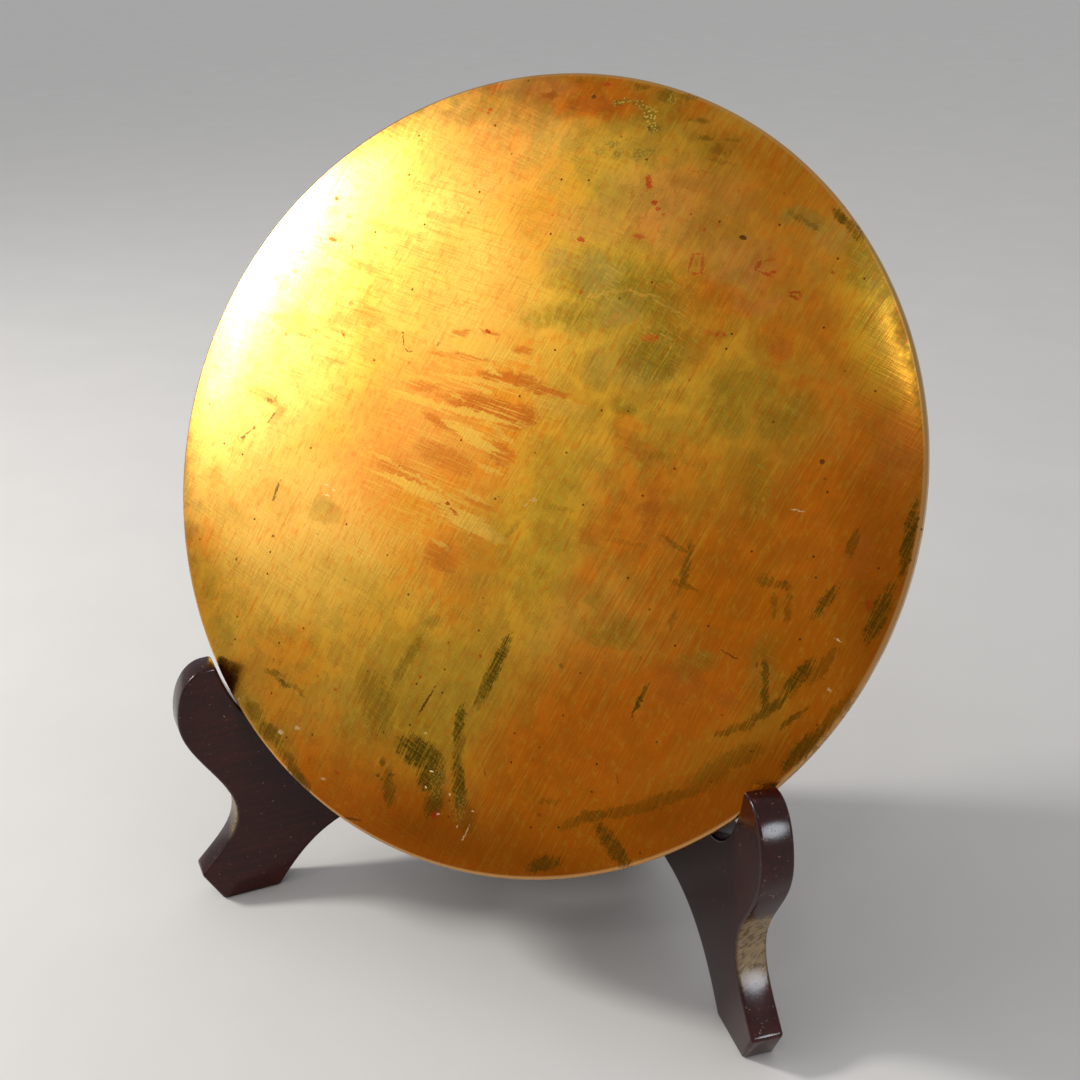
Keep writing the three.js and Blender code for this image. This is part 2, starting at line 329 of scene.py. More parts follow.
# what has marked the face: each patch is (across, up, half length, half width, turn, strength),
# in millimetres from the face's middle and degrees
faceMarks = {
    # where the polish runs across, and where the metal is smoother
    "flatPolish": [(-42, 42, 66, 34, 25, 1.0)],
    "smooth": [(88, 40, 8, 22, 25, 0.05)],
    # broad soft areas
    # paler gold over the upper left: partly the metal's own tone, partly a painted highlight; the patch at
    # the upper left rim is painted highlight that turns the glare white
    "paleGoldAndHighlight": [
        (-78, 28, 26, 52, -16, 0.8), (-48, 66, 46, 22, 35, 0.6), (-62, -22, 30, 22, -20, 0.5),
        (-30, 40, 30, 22, 10, 0.35), (-84, 46, 12, 40, -32, 0.95),
    ],
    "yellowZone": [
        (34, 26, 34, 28, -10, 0.6), (22, 44, 26, 16, -15, 0.6), (10, -10, 12, 34, -6, 0.75),
        (-12, -52, 26, 22, 20, 0.5), (-40, -46, 34, 20, -10, 0.4), (84, 44, 9, 20, 32, 0.9),
        (60, 28, 10, 14, 0, 0.3), (14, 76, 14, 14, 0, 0.45), (30, 86, 20, 8, -25, 0.4),
        (-20, -70, 26, 12, 0, 0.5), (64, -56, 18, 5, 40, 0.3), (-72, -50, 14, 24, 30, 0.3),
    ],
    "pinkZone": [
        (26, 68, 11, 8, -10, 0.4), (48, 55, 8, 6, 0, 0.5), (34, 61, 9, 7, 0, 0.3), (54, 46, 5, 4, 0, 0.3),
        (-32, 5, 20, 15, 20, 0.4), (10, 62, 10, 5, 0, 0.3), (40, 72, 12, 6, -20, 0.2),
        (-12, 95, 9, 3, 0, 0.4), (92, 18, 4, 10, 8, 0.2),
    ],
    "greyHaze": [
        (13, 49, 6, 4, -30, 0.5), (21, 41, 6, 4, 20, 0.4), (20, 27, 4, 5, 0, 0.3), (30, 27, 5, 4, 0, 0.3),
        (69, 63, 5, 3.5, -40, 0.4), (12, 70, 5, 6, 0, 0.2), (62, 67, 5, 2, -20, 0.3),
        (86, 42, 5, 16, 28, 0.4), (3, 52, 6, 3, 0, 0.5),
    ],
    "crust": [
        (11.5, 92.6, 2.4, 0.8, 15, 0.8), (16.5, 92.2, 2.4, 1.0, -35, 0.9),
        (19.4, 89.6, 1.8, 1.6, -60, 0.95), (21, 86.6, 1.8, 1.4, 0, 0.9), (18.6, 79.5, 1.6, 1.6, 0, 0.7),
        (21.5, 80.5, 1.4, 1, 0, 0.6), (11.5, 81.8, 1.8, 0.8, 0, 0.7), (8, 80, 1.4, 1, 0, 0.5),
        (13.5, 79.6, 1.2, 1, 0, 0.6), (24, 93.8, 1.4, 1, 0, 0.5), (-5, -80, 2, 4, -8, 0.2),
        (1.5, -84, 2, 4, 10, 0.2),
    ],
    # deep orange-brown to the right and below: partly the metal's own tone, partly painted shade on the
    # side away from the light
    "deepToneAndShade": [
        (78, -28, 44, 58, 25, 0.9), (44, -70, 58, 34, 30, 0.95), (-16, -90, 60, 16, -4, 0.85),
        (92, 26, 20, 56, 14, 0.7), (58, 62, 34, 26, -40, 0.5), (6, 96, 40, 10, 0, 0.5),
        (40, -24, 40, 40, 0, 0.25),
    ],
    # painted shade: darker along the bottom and the right rim
    "bottomShade": [(8, -103, 80, 18, 0, 0.65), (66, -72, 36, 12, 42, 0.4), (97, -4, 12, 62, 6, 0.4)],
    "orangeZone": [
        (-18, 6, 30, 24, 35, 0.45), (-10, -24, 14, 14, 0, 0.5), (5, 94, 12, 6, 0, 0.9),
        (-10, 94, 5, 3, 0, 0.7), (27, 92, 6, 3, 10, 0.8), (40, 84, 12, 4, -25, 0.6),
        (45, 46, 14, 5, -5, 0.7), (62, 38, 6, 7, 0, 0.6), (72, 26, 7, 6, 0, 0.5), (86, 8, 12, 18, 0, 0.6),
        (80, -8, 14, 12, 0, 0.75), (55, -45, 18, 12, 40, 0.8), (35, -4, 10, 14, 0, 0.55),
        (36, -60, 26, 16, 20, 0.6), (-28, -80, 22, 12, -25, 0.5), (57, 55, 7, 5, 0, 0.45),
        (-30, 78, 20, 12, 0, 0.4), (-60, -60, 14, 8, 30, 0.35), (24, -24, 5, 6, 0, 0.4),
        (62, -75, 14, 8, 35, 0.6), (-88, -32, 8, 4, 0, 0.4), (40, 40, 6, 10, 0, 0.5),
        (70, 44, 6, 8, 0, 0.4), (28, 10, 3, 5, 0, 0.5), (45, 5, 5, 8, 0, 0.4), (24, 62, 5, 3, 0, 0.4),
        (30, -44, 8, 12, 0, 0.5), (46, -52, 10, 14, 0, 0.5), (72, 58, 4, 5, 0, 0.4),
    ],
    "oliveZone": [
        (22, 45, 18, 8, -18, 0.8), (11, 39, 12, 5, 0, 0.75), (31, 46, 9, 6, -25, 0.8),
        (32, 33, 9, 9, 0, 0.85), (20, 27, 4, 6, 0, 0.55), (55, 27, 9, 5, 0, 0.55), (53, 20, 6, 4, 0, 0.6),
        (66, 20, 6, 6, 0, 0.5), (28, 17, 5, 3, 0, 0.5), (36, 8, 4, 2, 0, 0.5), (62, 3, 3, 9, 10, 0.5),
        (14, -8, 5, 22, -8, 0.45), (-4, -58, 20, 10, 65, 0.45), (-22, -56, 14, 10, 40, 0.5),
        (-18, -66, 18, 7, 20, 0.5), (12, 68, 7, 9, 0, 0.35), (20, 90, 6, 7, -40, 0.5),
        (37, 83, 7, 4, -15, 0.5), (63, 67, 6, 2, -20, 0.5), (78, 56, 9, 5, -50, 0.7),
        (93, 36, 3.5, 16, 20, 0.8), (-50, -18, 5, 4, 0, 0.35), (-67, -18, 9, 3, 0, 0.25),
        (-86, -16, 2, 4, 0, 0.35), (-80, -24, 9, 4, 0, 0.3), (-86, -40, 6, 5, -30, 0.4),
        (-77, -55, 4, 5, 20, 0.4), (-38, -34, 10, 4, 0, 0.25), (-58, -77, 12, 4, -35, 0.6),
        (27, -30, 4, 2, 0, 0.6), (31, -35, 7, 2.6, 0, 0.6), (54, -37, 4, 4, 50, 0.6),
        (72, -38, 4, 9, 0, 0.45), (-3, -22, 9, 14, 0, 0.3), (8, 20, 6, 6, 0, 0.35),
        (42, 62, 9, 10, 0, 0.25), (10, 3, 6, 8, 0, 0.4), (-26, 90, 8, 3, 20, 0.4),
    ],
    # olive to nearly black stains with clear edges
    "darkStain": [
        (-11, -73.5, 6.5, 3.6, -12, 0.9), (-7, -78.5, 3.4, 4, -30, 0.85), (-5, -84.5, 2.4, 4, -16, 0.8),
        (-25, -64, 4.5, 8, 20, 0.55), (-29, -60, 3, 5, 25, 0.35), (-1.6, -64, 1.3, 4.5, -5, 0.85),
        (-0.6, -71, 1.3, 5.5, -2, 0.6), (1, -79, 1.8, 7, 14, 0.85), (4, -86, 2.4, 4, 20, 0.5),
        (-18.5, -83.5, 2, 4.6, 12, 0.7), (-21, -78, 0.9, 0.9, 0, 0.7), (-19, -52, 8, 1.3, 66, 0.55),
        (-14, -41, 2.5, 1.5, 30, 0.45), (5.3, -49, 9, 1.5, 74, 0.85), (3.2, -56, 4, 1.2, 78, 0.6),
        (49, -17, 6, 1.1, 88, 0.7), (45.5, -12, 4, 0.6, -22, 0.6), (49, -21, 3.6, 0.7, -8, 0.6),
        (43.4, -49, 4.2, 0.5, 74, 0.85), (48, -29, 2.4, 0.7, 80, 0.5), (33, -13.5, 5, 0.6, 0, 0.4),
        (68, -17, 2, 1.4, 0, 0.6), (72, -17, 2, 1, 0, 0.6), (74, -22, 3, 0.9, 95, 0.5),
        (71, -22, 3, 0.7, 100, 0.5), (82, -19, 4.5, 1.2, 62, 0.75), (86, -5, 3.2, 0.9, 82, 0.6),
        (79, -37, 5, 1.6, 62, 0.8), (72, -41, 6.5, 0.9, 98, 0.75), (75, -44, 4.5, 0.9, 48, 0.7),
        (84, -33, 5, 1.4, 60, 0.45), (79.5, -46, 3.8, 0.7, 48, 0.7), (67, -51, 5, 1, 28, 0.6),
        (72, -47, 4, 0.9, 40, 0.6), (94, -20, 6.5, 1.7, 76, 0.75), (97.6, -2, 8, 1.2, 89, 0.8),
        (88, -44, 7, 1.3, 62, 0.5), (83, -52, 7, 1.6, 55, 0.7), (69, -57, 5, 2, 35, 0.45),
        (63, -62, 7, 2.2, 45, 0.35), (54, -70, 9, 1.3, 26, 0.45), (45, -75, 8, 1.3, 22, 0.5),
        (36, -78.5, 5, 1.2, 22, 0.6), (32, -81, 4, 1, 35, 0.45), (25, -77.5, 3, 0.7, 15, 0.4),
        (42, -84, 6, 2, -42, 0.75), (26, -92.5, 4.5, 1.6, 28, 0.7), (-57.5, -62.3, 3, 0.9, 0, 0.7),
        (-54, -64.3, 2.6, 0.8, -15, 0.8), (-50, -64.6, 3, 0.5, -12, 0.6), (-48, -66, 1.8, 0.5, -30, 0.6),
        (-62, -73.5, 3.5, 2.2, -30, 0.55), (-56, -78, 4.5, 2.2, -25, 0.7), (-50, -83, 3.2, 1.3, -20, 0.6),
        (-46, -87, 5, 1.6, -38, 0.75), (-51, -17, 3, 2.4, 0, 0.15), (32, 88.9, 2.5, 0.7, -5, 0.6),
        (34.5, 84.6, 1.6, 0.8, 0, 0.6), (38, 82, 3, 1, -10, 0.5), (41, 84.6, 2, 0.6, 0, 0.5),
        (40, 79, 3.5, 0.5, -8, 0.4), (35.5, 76.2, 2.6, 0.4, 0, 0.35), (15.5, 96.8, 2, 0.9, 0, 0.6),
        (22, 95, 2, 1.4, 0, 0.55), (28, 94.6, 2.4, 0.8, 0, 0.5), (27, 77, 2, 0.7, 0, 0.3),
        (-28.5, 91.3, 2.4, 0.9, 0, 0.35), (62, 66.6, 4, 0.7, -22, 0.5), (70, 68.3, 3, 1.1, -42, 0.75),
        (73.5, 65.5, 3.4, 1.2, -42, 0.6), (28.5, 61.3, 1.2, 0.4, 0, 0.4), (-1.5, 97.6, 1.2, 0.6, 0, 0.5),
        (31, 30, 7, 4.5, -5, 0.4), (28, 45, 8, 3.6, -15, 0.35), (8, 47, 8, 2.6, 0, 0.3),
        (15, 27, 4, 3, 0, 0.3), (61, 3, 2.4, 8, 5, 0.3), (55, 27, 7, 3, 0, 0.3), (64, 19, 4, 4, 0, 0.25),
        (53, 20, 3.5, 2, 0, 0.3), (27, 17.6, 3, 1.3, 0, 0.4), (36, 8, 2.6, 0.9, 0, 0.4),
        (4, -14.5, 3.4, 0.6, 58, 0.4), (15.5, -8, 3.5, 0.5, 0, 0.35), (12.7, -24.5, 2.4, 1.2, 0, 0.35),
    ],
    # where the orange skin has been scraped through to paler gold
    "scraped": [
        (-13, 28.3, 9, 2.4, -6, 0.9), (-9.5, 23, 3, 0.6, -16, 0.9), (-11, 18.2, 4, 0.7, -10, 0.8),
        (-14, 20.2, 13, 0.7, -3, 0.7), (-14, 11.9, 17, 0.9, -5, 0.85), (-29, 13.6, 9, 0.9, -8, 0.7),
        (10.5, 16.5, 8, 2.0, -6, 0.4), (-11.5, 6.2, 7.5, 1.7, -22, 0.95), (-19, 8.6, 2.6, 0.7, -20, 0.8),
        (-24, -9, 12, 1.3, -13, 0.9), (-9, -14.6, 9, 2.2, -14, 0.9), (-3, -17, 6, 1.4, -12, 0.7),
        (-15, -21.5, 3.4, 0.6, -22, 0.8), (-5, -1.2, 3.4, 0.7, -10, 0.7), (-36, -2.4, 6, 0.6, -14, 0.6),
        (-44.5, 23.4, 1.7, 1.1, 20, 0.9), (-31, 33.5, 8, 0.6, 14, 0.5), (-22, -6.8, 9, 0.5, -16, 0.7),
        (-8, -8.6, 5, 0.6, -14, 0.6), (-3, 7.5, 4, 0.7, -30, 0.6), (-28, 19, 7, 0.6, -5, 0.5),
        (17, 45, 4.5, 0.5, 14, 0.4), (25.5, 45.8, 5, 0.4, -8, 0.45), (33.5, 43.2, 5, 0.35, -22, 0.4),
        (-8, 34.8, 5, 1.4, 0, 0.5), (-18, 15.4, 3, 0.5, -12, 0.6), (-1, 26.3, 4, 0.6, -6, 0.6),
    ],
    "scrapeField": [(-16, 14, 24, 18, 10, 0.7), (-24, -10, 20, 12, -15, 0.6)],
    # the strongest of the orange skin, between the scrapes
    "orangeSkin": [
        (-4, 21.6, 9, 1.7, -3, 0.9), (6, 19.6, 6, 1.1, -4, 0.9), (-10, 14.4, 12, 2.6, -4, 0.9),
        (-19, 25.6, 9, 0.9, 0, 0.6), (-28, 17, 5, 1.4, 0, 0.6), (-1, 12.6, 6, 3.4, 0, 0.9),
        (-20, 31.4, 2.4, 1, 0, 0.7), (-12, 32.5, 3, 0.5, -8, 0.7), (-2, 29, 3, 1, 0, 0.7),
        (-21, 8.5, 6, 1.2, -20, 0.7), (-3, 3, 4, 2.4, -20, 0.8), (-18, 0, 9, 3, -15, 0.6),
        (-30, -5, 8, 2, -15, 0.5), (-14, -24, 5, 4, -20, 0.6), (-16, -12.8, 5, 0.7, -18, 0.7),
        (-6, -10, 5, 1, -10, 0.5), (-8, 93.4, 3, 1, 0, 0.8), (4, 91.5, 7, 2, 0, 0.7),
        (46, 38, 3, 0.8, 0, 0.5), (30, 35.4, 2.4, 1, 10, 0.7), (62, 36, 3, 3, 0, 0.5),
        (38, -5, 2, 6, 0, 0.5), (24, -13, 3, 3, 0, 0.4), (-70, 29, 8, 2.6, -10, 0.4),
        (-58, 31, 6, 3, 0, 0.3), (-47, 33, 5, 2.4, -10, 0.35), (-64, 43, 4, 1.6, 0, 0.3),
        (-62, 53, 3, 1.6, 0, 0.35), (-77, 40, 2.6, 3, 0, 0.3), (-75, 9, 5, 1.6, -20, 0.35),
        (-66, 60, 4, 1.4, 0, 0.3), (-70, 4, 1.4, 4, -30, 0.35), (-52, 46, 6, 1, -10, 0.3),
        (-44, 56, 9, 1, -12, 0.25), (-30, 60, 8, 1, -12, 0.25), (88, -7, 3, 5, 0, 0.5),
        (52, -43, 6, 5, 30, 0.5), (64, -45, 2.5, 2, 0, 0.6), (33, 9, 7, 2.4, -30, 0.4),
    ],
    "redSpot": [
        (22.7, 72.8, 1.9, 0.8, 115, 0.85), (25, 68, 0.8, 0.6, 0, 0.9), (26.2, 66.6, 0.7, 0.5, 0, 0.8),
        (28, 65.4, 0.5, 0.4, 0, 0.7), (22.6, 59.6, 1.8, 0.5, -5, 0.7), (8, 57.6, 1.1, 0.7, -10, 0.85),
        (37, 54.5, 0.4, 2.4, -8, 0.75), (39.8, 54, 0.4, 2.6, 6, 0.7), (38.3, 56.6, 1, 0.3, 0, 0.6),
        (38.4, 51.8, 1, 0.4, 0, 0.7), (38.4, 54.2, 0.4, 0.6, 0, 0.6), (53.2, 55.2, 0.6, 1.4, -20, 0.75),
        (55.5, 53.3, 2, 0.4, -15, 0.75), (57, 54, 0.7, 0.5, 0, 0.8), (55.6, 56.6, 1.8, 0.4, 15, 0.5),
        (62.8, 49.7, 1.5, 0.4, 8, 0.8), (62.9, 48.6, 1.3, 0.4, -20, 0.8), (64.3, 49, 0.4, 0.6, 0, 0.6),
        (70.6, 55.2, 0.5, 0.5, 0, 0.7), (32, 36, 0.7, 0.5, 0, 0.7), (46.5, 38.1, 0.5, 0.4, 0, 0.7),
        (48.1, 38.1, 0.5, 0.4, 0, 0.7), (10.7, 44.6, 0.4, 0.6, 0, 0.6), (6.5, 97, 1.2, 0.5, 5, 0.7),
        (45.2, 72.4, 0.4, 0.6, 0, 0.5), (38.7, 62.5, 0.4, 0.4, 0, 0.7), (-24.3, 94.5, 0.6, 2, -10, 0.7),
        (-26, 95.2, 1, 0.6, 40, 0.7), (-22.8, 95.5, 0.4, 1.1, -15, 0.7), (-24.2, 88.9, 1, 0.6, 60, 0.8),
        (-26.4, 89, 0.9, 0.3, -50, 0.5), (-30.5, 94.2, 0.7, 0.5, 0, 0.6), (-0.8, 63, 0.4, 0.3, 0, 0.6),
        (-12.4, 32.6, 0.9, 0.4, -30, 0.8), (-15, -11.2, 0.8, 0.4, 0, 0.9),
        (-13.2, -12.8, 1.8, 0.25, -22, 0.8), (-12.3, -13.7, 0.9, 0.25, -14, 0.7),
        (-34, -83.5, 0.6, 0.5, 0, 0.7), (-38, -62.8, 0.6, 0.6, 0, 0.6), (-14.4, -55, 0.5, 0.4, 0, 0.7),
        (1, -46.7, 0.35, 0.35, 0, 0.8), (23, -81.2, 0.6, 0.4, 0, 0.6), (19.4, -68.6, 0.4, 0.35, 0, 0.5),
        (-4.6, -87.6, 1.2, 0.7, 30, 0.9), (91.5, -18, 0.8, 1.2, 10, 0.5), (5.5, 77, 1.6, 0.3, 12, 0.4),
        (33, 64.2, 1.6, 0.4, 0, 0.35), (29.8, 71, 0.3, 1, 25, 0.5),
    ],
    "brownFleck": [
        (3.7, 93.6, 0.6, 0.5, 0, 0.9), (48.4, 61.4, 1, 0.5, -8, 0.95), (76, 12, 0.7, 0.6, 0, 0.85),
        (21, 78.4, 0.35, 0.3, 0, 0.9), (20, 86.3, 0.45, 0.4, 0, 0.8), (25, -56.5, 0.35, 0.3, 0, 0.9),
        (22.4, -45.1, 0.5, 0.45, 0, 0.6), (69.2, -35.8, 0.3, 0.8, 0, 0.7), (79, -14, 0.35, 0.3, 0, 0.8),
        (77.3, 8.2, 0.35, 0.3, 0, 0.6), (-64.6, 63.5, 0.8, 0.7, 0, 0.8), (-63, 52.4, 1.4, 0.6, -12, 0.8),
        (-56.4, 50.9, 0.7, 0.4, -40, 0.7), (-56, 48.8, 0.2, 1.8, 10, 0.5),
        (-59.5, 58.8, 0.8, 0.5, 0, 0.6), (-73, 43, 1, 0.4, -10, 0.5), (-53.6, 36, 0.8, 0.8, 30, 0.5),
        (-72, 26, 0.8, 0.5, 0, 0.6), (-76.3, 30.2, 0.4, 0.4, 0, 0.6), (-76.5, 26, 0.8, 0.3, 20, 0.5),
        (-54, 27.6, 1.2, 0.3, -60, 0.7), (-24.1, 62, 0.5, 0.3, -20, 0.6), (-73.2, 8, 1.2, 0.6, -20, 0.7),
        (-71.4, 8.8, 0.3, 0.9, -10, 0.6), (-71.7, 3.6, 1.9, 0.3, 58, 0.8), (-76.7, 0.2, 0.5, 0.5, 0, 0.7),
        (-78.3, -1.2, 1.6, 0.22, 42, 0.7), (-79.8, -2.8, 0.8, 0.5, 20, 0.8),
        (-66, -14.8, 2.4, 0.45, 76, 0.75), (-66.4, -17.4, 0.9, 0.35, 60, 0.7),
        (-35.7, 27.6, 1.9, 0.16, 110, 0.9), (-34.4, 25.6, 0.8, 0.16, 140, 0.9),
        (-33.4, 25.3, 1.2, 0.14, 8, 0.7), (-11.5, -60.4, 4.9, 0.28, 66, 0.9),
        (-64.6, -27.2, 0.4, 0.35, 0, 0.8), (-75.1, -35, 0.5, 0.4, 0, 0.8),
        (-88.7, -31.7, 0.5, 0.35, 0, 0.7), (-40.5, -35, 0.4, 0.35, 0, 0.5),
        (-2.4, -8.2, 0.3, 0.3, 0, 0.9), (-1.6, -7.6, 0.25, 0.2, 0, 0.8),
        (62.6, -34.7, 2.3, 0.14, -18, 0.9), (7, -73.6, 0.16, 2, 25, 0.5), (41, -68.4, 0.2, 1.2, 20, 0.5),
        (-19.2, 26.4, 0.6, 0.2, 30, 0.5), (-25.6, 28, 0.3, 0.7, -30, 0.5), (-33, 22.5, 0.5, 0.3, 0, 0.5),
        (-21.9, -81.6, 0.7, 0.6, 0, 0.7), (-18, -80.5, 1.6, 0.4, 20, 0.5),
        (-30.5, -3.8, 0.25, 0.2, 0, 0.6), (-28, -94.2, 2.6, 0.3, 4, 0.7),
    ],
    "paleFleck": [
        (-50.8, -11.6, 0.5, 0.2, 0, 0.5), (-50.2, -14.3, 1, 0.2, 0, 0.6),
        (-48.6, -12.7, 0.6, 0.2, -20, 0.5), (-47.9, -74.8, 0.9, 0.6, 10, 0.7),
        (-52.8, -77, 0.8, 0.6, 0, 0.6), (-68, -71.4, 0.4, 0.25, 0, 0.7),
        (86.3, -26.9, 0.9, 0.16, -15, 0.9), (72.5, 0.3, 1.8, 0.14, -3, 0.7),
        (4.6, -90, 2.2, 0.18, 70, 0.6), (-8, -81.4, 0.3, 0.25, 0, 0.9), (-1.2, -81.7, 0.35, 0.25, 0, 1),
        (-3.6, -87.2, 0.4, 0.3, 0, 0.9), (-7, -77.2, 0.5, 0.2, -10, 0.9),
        (-10.3, -68.2, 0.3, 0.25, 0, 0.8), (2, -89, 0.3, 0.3, 0, 0.8), (5.6, -84.3, 0.4, 0.2, 0, 0.6),
        (-37.8, -86, 0.7, 0.3, 0, 0.5), (8, -7, 1, 0.5, 0, 0.25), (6, -8.6, 0.6, 0.4, 0, 0.25),
        (86.2, -38.3, 0.6, 0.4, -30, 0.5),
    ],
}


# colours as a paint program shows them
bronzeColours = {
    # the skin and its broad areas; the pale area is partly painted highlight, the deep area partly painted
    # shade, the bottom area painted shade
    "gold": (222, 168, 62), "amber": (212, 146, 44), "mottle": (212, 130, 34),
    "paleGoldAndHighlight": (226, 184, 98), "deepToneAndShade": (190, 98, 8), "yellowZone": (208, 166, 46),
    "bottomShade": (112, 48, 2), "orangeZone": (204, 108, 22), "pinkZone": (206, 138, 72),
    "oliveZone": (118, 102, 20), "oliveHatch": (198, 172, 78), "greyHaze": (160, 138, 66),
    # the rim's pale edge is partly wear and partly a painted highlight
    "rimWearAndHighlight": (216, 172, 110),
    # polishing
    "fineDark": (206, 100, 18), "finePale": (206, 158, 48),
    "strokeDark": (202, 98, 18), "strokePale": (198, 152, 38),
    "hairDark": (184, 92, 14), "hairPale": (214, 158, 48),
    # marks
    "orangeSkin": (182, 96, 28), "scrapeField": (218, 168, 66), "scraped": (214, 164, 64),
    "darkStain": (70, 56, 8), "crust": (120, 104, 30), "crustBead": (216, 180, 80),
    "redSpot": (146, 44, 16), "brownFleck": (70, 42, 18), "paleFleck": (240, 208, 150),
    "dust": (110, 60, 18),
    # the back
    "backGold": (168, 116, 48), "backBrown": (130, 92, 40), "backOlive": (112, 98, 42),
    "backCopper": (176, 100, 44), "dirt": (58, 44, 22), "knobPolish": (204, 150, 66),
}


def tint(name):
    return paint(*bronzeColours[name])


def laid(tree, colour, mask, name):
    # one of the colours over what is there so far
    return mixColour(tree, mask, colour, tint(name))


def discCoordinates(tree):
    # millimetres across (x) and up (y) the face from its middle, z out of it; then the same laid flat
    local = addNode(tree, "TexCoord", {}).outputs["Object"]
    lean = (math.radians(90 - mirror["lean"]), 0, 0)
    place = placed(tree, local, Vector(mirror["centre"]) * mm, lean, (mm, mm, mm))
    flat = addNode(tree, "VectorMath", {0: place, 1: (1, 1, 0)}, operation="MULTIPLY").outputs[0]
    return place, flat


def faceMaterial(name, quarter):
    # one quarter of the face, with only the marks that reach it, so that it renders quickly
    material, tree, shader = newMaterial(name)
    flat = discCoordinates(tree)[1]

    def marked(where, kind, ragged, soft):
        patches = [patch for patch in faceMarks[kind] if reaches(patch, quarter)]
        return patchMask(tree, where, patches, ragged, soft)

    softPlace = shifted(tree, shifted(tree, flat, 14.0, 12.0, 2.0), 2.6, 1.8, 3.0)
    stainPlace = shifted(tree, flat, 1.9, 2.0, 4.0)
    spotPlace = shifted(tree, flat, 0.8, 0.7, 2.0)

    # polishing: long strokes up the lower half, flatter ones above, a cross hatch in between
    strokeUp = brushed(tree, flat, 68, 26, 0.55, 5, 0.75)
    strokeFlat = brushed(tree, flat, -11, 16, 0.6, 5, 0.75)
    hairUp = brushed(tree, flat, 74, 12, 0.3, 3, 0.7)
    hairFlat = brushed(tree, flat, -13, 11, 0.3, 3, 0.7)
    hairCross = brushed(tree, flat, -24, 7, 0.3, 2, 0.7)
    cloud = speckle(tree, flat, 24.0, 5, 0.6).outputs["Fac"]
    mottle = speckle(tree, flat, 6.0, 4, 0.6).outputs["Fac"]
    fine = brushed(tree, flat, 78, 3.2, 1.5, 3, 0.65)
    grain = speckle(tree, flat, 0.7, 2, 0.7).outputs["Fac"]

    # how each kind of mark breaks up at its edge
    softEdge = times(tree, ease(tree, mottle, 0.25, 0.75, 0.7, 1.3),
                     ease(tree, fine, 0.3, 0.7, 0.75, 1.25))
    zoneEdge = ease(tree, strokeUp, 0.3, 0.7, 0.7, 1.25)
    stainEdge = times(tree, ease(tree, hairUp, 0.3, 0.66, 0.5, 1.6), ease(tree, grain, 0.3, 0.7, 0.7, 1.3))
    scrapeEdge = times(tree, ease(tree, strokeFlat, 0.3, 0.66, 0.5, 1.5),
                       ease(tree, grain, 0.3, 0.7, 0.75, 1.2))
    spotEdge = ease(tree, grain, 0.25, 0.7, 0.45, 1.5)

    # which way the polish runs
    flatPolish = marked(flat, "flatPolish", zoneEdge, 0.3)
    hair = addNode(tree, "Mix", {0: flatPolish, 2: hairUp, 3: hairFlat}).outputs[0]

    # the skin of the metal, gold to orange, with a painted highlight in its pale area and painted shade in
    # its deep area
    colour = mixColour(tree, ease(tree, cloud, 0.36, 0.64), tint("gold"), tint("amber"))
    colour = laid(tree, colour, ease(tree, mottle, 0.42, 0.72, 0, 0.18), "mottle")
    # paler gold over the upper left, partly the metal's tone and partly a painted highlight
    paleGoldAndHighlight = marked(flat, "paleGoldAndHighlight", zoneEdge, 0.33)
    colour = laid(tree, colour, paleGoldAndHighlight, "paleGoldAndHighlight")
    # deep orange-brown, partly the metal's tone and partly painted shade
    deepToneAndShade = marked(flat, "deepToneAndShade", zoneEdge, 0.33)
    colour = laid(tree, colour, deepToneAndShade, "deepToneAndShade")
    yellowZone = marked(flat, "yellowZone", zoneEdge, 0.33)
    colour = laid(tree, colour, yellowZone, "yellowZone")

    orange = marked(softPlace, "orangeZone", softEdge, 0.33)
    colour = laid(tree, colour, orange, "orangeZone")
    pink = marked(softPlace, "pinkZone", softEdge, 0.33)
    colour = laid(tree, colour, pink, "pinkZone")

    olive = marked(softPlace, "oliveZone", softEdge, 0.33)
    hatchLines = plus(tree, times(tree, strokeUp, 0.6), times(tree, hairCross, 0.5))
    olive = times(tree, olive, ease(tree, hatchLines, 0.40, 0.62, 0.65, 1.15))
    colour = laid(tree, colour, olive, "oliveZone")
    hatch = calc(tree, "MAXIMUM", ease(tree, hairCross, 0.56, 0.68), ease(tree, hairUp, 0.58, 0.68))
    hatch = times(tree, times(tree, hatch, olive), 0.6)
    colour = laid(tree, colour, hatch, "oliveHatch")
    grey = marked(softPlace, "greyHaze", softEdge, 0.33)
    colour = laid(tree, colour, grey, "greyHaze")

    colour = laid(tree, colour, ease(tree, fine, 0.52, 0.72, 0, 0.35), "fineDark")
    colour = laid(tree, colour, ease(tree, fine, 0.46, 0.28, 0, 0.3), "finePale")

    # the polish itself, as hair lines darker and paler than the skin
    stroke = addNode(tree, "Mix", {0: flatPolish, 2: strokeUp, 3: strokeFlat}).outputs[0]
    colour = laid(tree, colour, ease(tree, stroke, 0.52, 0.70, 0, 0.5), "strokeDark")
    colour = laid(tree, colour, ease(tree, stroke, 0.46, 0.30, 0, 0.35), "strokePale")
    colour = laid(tree, colour, ease(tree, hair, 0.52, 0.68, 0, 0.34), "hairDark")
    colour = laid(tree, colour, ease(tree, hair, 0.45, 0.30, 0, 0.2), "hairPale")

    # painted shade: the lowest part of the face is darker, and so is the right rim
    bottomEdge = ease(tree, cloud, 0.3, 0.7, 0.8, 1.2)
    bottomShade = marked(flat, "bottomShade", bottomEdge, 0.33)
    colour = laid(tree, colour, bottomShade, "bottomShade")
    # handling wear and a painted highlight keep the rim's edge pale
    radius = lengthOf(tree, flat)
    colour = laid(tree, colour, ease(tree, radius, *mirror["paleRim"], 0, 0.6), "rimWearAndHighlight")

